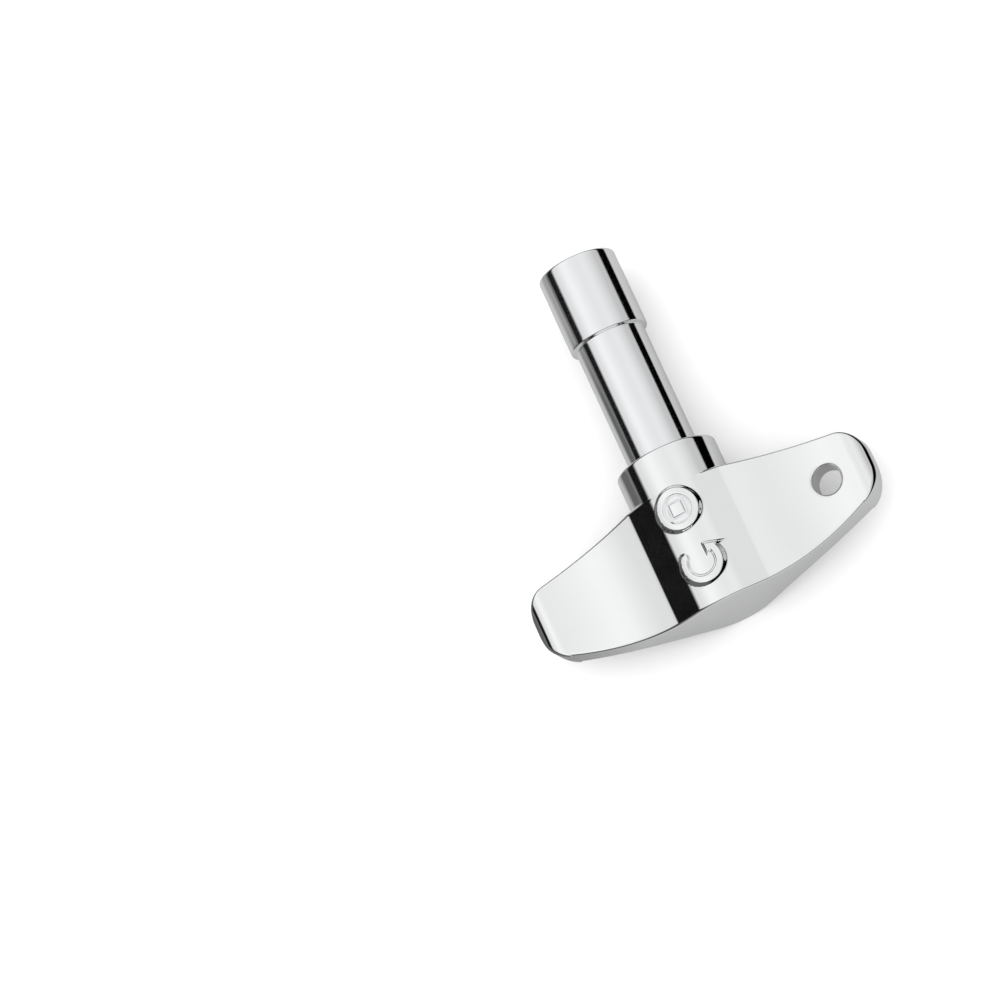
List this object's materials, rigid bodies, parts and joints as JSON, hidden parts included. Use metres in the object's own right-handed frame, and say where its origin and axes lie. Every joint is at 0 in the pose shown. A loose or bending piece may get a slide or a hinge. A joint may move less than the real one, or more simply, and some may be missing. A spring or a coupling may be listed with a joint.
{
  "type": "winged square-socket key",
  "caption": "Winged hand key: hollowed cast handle with a hanging hole in one wing, collared hub, and a round stem whose larger head holds a square socket.",
  "frame": {"origin": "on the surface that the key lies on, under the middle of its box", "axes": "+Z out of the front face, which carries the raised mark; +Y along the stem from the socket's mouth to the crown of the handle; +X across the wings, away from the wing with the hanging hole"},
  "size_m": [0.0464, 0.0476, 0.0134],
  "materials": {
    "chromed_casting": "mirror-bright chrome plate over a smooth zinc casting",
    "chromed_steel": "bright chrome plate over turned steel, with faint turning lines"
  },
  "bodies": {
    "root": {"wing_handle": "chromed_casting", "socket_stem": "chromed_steel"}
  },
  "joints": []
}
